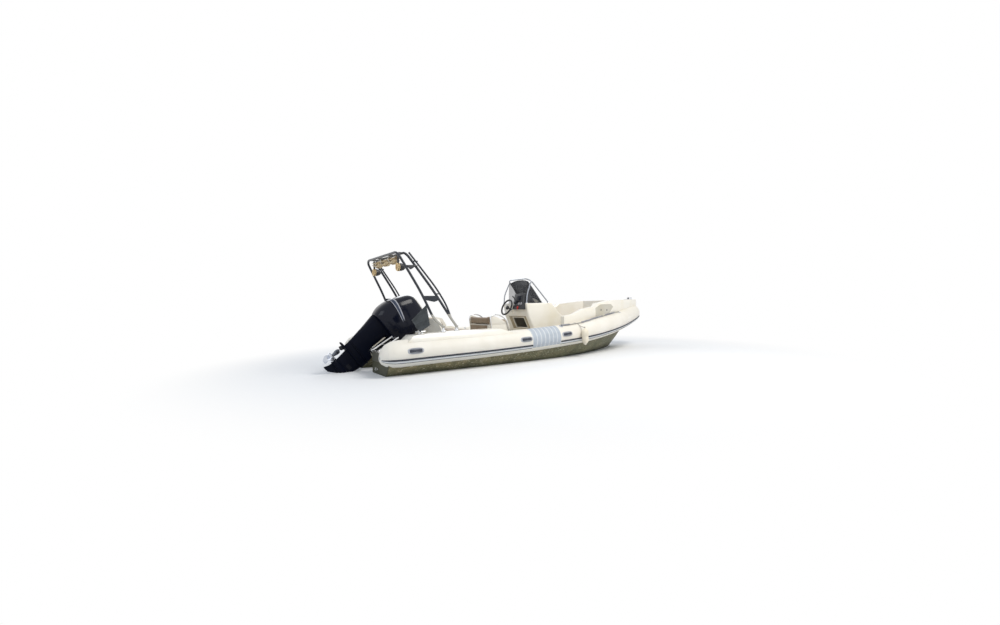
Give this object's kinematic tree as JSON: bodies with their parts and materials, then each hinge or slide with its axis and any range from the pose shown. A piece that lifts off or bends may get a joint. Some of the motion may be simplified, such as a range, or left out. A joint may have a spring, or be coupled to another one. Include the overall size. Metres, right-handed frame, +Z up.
{
  "type": "inflatable rib boat",
  "caption": "Rigid inflatable boat afloat, with air tubes, console, seats, stern tower, boarding ladder and a tilted outboard engine.",
  "frame": {"origin": "on the waterline and the centreline, in the plane of the stern corners of the hull", "axes": "+X to the bow, +Y to port, +Z up"},
  "size_m": [7.8257, 2.6566, 2.406],
  "materials": {
    "hull_gelcoat": "gelcoat, weathered at the waterline",
    "deck_gelcoat": "warm white gelcoat",
    "tube_fabric": "coated fabric, satin",
    "strake_rubber": "matt",
    "strake_light_rubber": "matt",
    "pad_rubber": "ribbed, matt",
    "handle_rubber": "moulded",
    "upholstery": "stitched vinyl",
    "stainless": "polished",
    "dash_plastic": "gloss black",
    "wheel_rubber": "soft grip",
    "smoked_screen": "smoked",
    "tower_paint": "gloss black",
    "canopy_cloth": "woven",
    "speaker_plastic": "moulded",
    "bracket_paint": "satin black",
    "engine_paint": "gloss black",
    "cowl_plastic": "gloss black",
    "fender_vinyl": "soft vinyl",
    "lamp_plastic": "moulded",
    "flag_cloth": "woven",
    "strap_web": "woven webbing"
  },
  "bodies": {
    "boat": {"hull": "hull_gelcoat", "floor": "deck_gelcoat", "stern_well": "deck_gelcoat", "tube_starboard": "tube_fabric", "tube_port": "tube_fabric", "strake_dark": "strake_rubber", "strake_light": "strake_light_rubber", "step_pads": "pad_rubber", "tube_handles": "handle_rubber", "stern_mouldings": "deck_gelcoat", "stern_coaming": "deck_gelcoat", "bench_base": "deck_gelcoat", "bench_backrest": "upholstery", "helm_seat_base": "deck_gelcoat", "helm_cushion": "upholstery", "helm_backrest": "upholstery", "helm_rails": "stainless", "console": "deck_gelcoat", "dash": "dash_plastic", "throttle": "dash_plastic", "windscreen": "smoked_screen", "screen_rail": "stainless", "console_cushion": "upholstery", "bow_moulding": "deck_gelcoat", "bow_cushion": "upholstery", "bow_roller": "stainless", "cleats": "stainless", "mooring_eyes": "stainless", "tower_hoops": "tower_paint", "tower_feet": "stainless", "tower_canopy": "canopy_cloth", "tower_speakers": "speaker_plastic", "clamp_bracket": "bracket_paint", "bow_lines": "canopy_cloth", "tower_lamp": "lamp_plastic", "flag": "flag_cloth", "fender_strap": "strap_web", "ladder_bracket": "stainless", "fender": "fender_vinyl"},
    "swivel": {"swivel_bracket": "bracket_paint"},
    "engine": {"engine_leg": "engine_paint", "engine_cowl": "cowl_plastic"},
    "prop": {"propeller": "stainless"},
    "ram_barrel": {"tilt_cylinder": "bracket_paint"},
    "ram_rod": {"tilt_rod": "stainless"},
    "wheel": {"steering_wheel": "wheel_rubber"},
    "ladder": {"ladder": "stainless"},
    "bow_lid": {"bow_hatch": "deck_gelcoat"},
    "bench_seat": {"bench_lid": "deck_gelcoat", "bench_cushion": "upholstery"}
  },
  "joints": [
    {"name": "engine_tilt", "type": "hinge", "parent": "boat", "child": "swivel", "pos_m": [0.5, 0, 0.33], "axis": [0, 1, 0], "range_deg": [-58, 4]},
    {"name": "engine_steer", "type": "hinge", "parent": "swivel", "child": "engine", "pos_m": [0.37069, 0, 0.50798], "axis": [0.809, 0, 0.5878], "range_deg": [-30, 30]},
    {"name": "propeller_spin", "type": "hinge", "parent": "engine", "child": "prop", "pos_m": [-0.59697, 0, 0.27465], "axis": [0.5878, 0, -0.809], "continuous": true},
    {"name": "ram_pivot", "type": "hinge", "parent": "boat", "child": "ram_barrel", "pos_m": [0.425, 0, 0.03], "axis": [0, 1, 0], "range_deg": [-1, 8]},
    {"name": "ram_slide", "type": "slide", "parent": "ram_barrel", "child": "ram_rod", "axis": [-0.1969, 0, 0.9804], "range_m": [-0.14, 0.015]},
    {"name": "wheel_turn", "type": "hinge", "parent": "boat", "child": "wheel", "pos_m": [3.055, 0.1, 1.031], "axis": [0.9063, 0, -0.4226], "range_deg": [-496, 496]},
    {"name": "ladder_swing", "type": "hinge", "parent": "boat", "child": "ladder", "pos_m": [-0.04, -0.63, 0.385], "axis": [0, -1, 0], "range_deg": [0, 229]},
    {"name": "bow_lid_lift", "type": "hinge", "parent": "boat", "child": "bow_lid", "pos_m": [6.06, 0, 1.137], "axis": [0, -1, 0], "range_deg": [0, 105]},
    {"name": "bench_lid_lift", "type": "hinge", "parent": "boat", "child": "bench_seat", "pos_m": [1.38, 0, 0.5513], "axis": [0, -1, 0], "range_deg": [0, 70]}
  ],
  "couplings": [
    {"joint": "ram_pivot", "follows": "engine_tilt", "ratio": -0.1051},
    {"joint": "ram_slide", "follows": "engine_tilt", "m_per_rad": 0.1328},
    {"joint": "wheel_turn", "follows": "engine_steer", "ratio": 16.5}
  ]
}
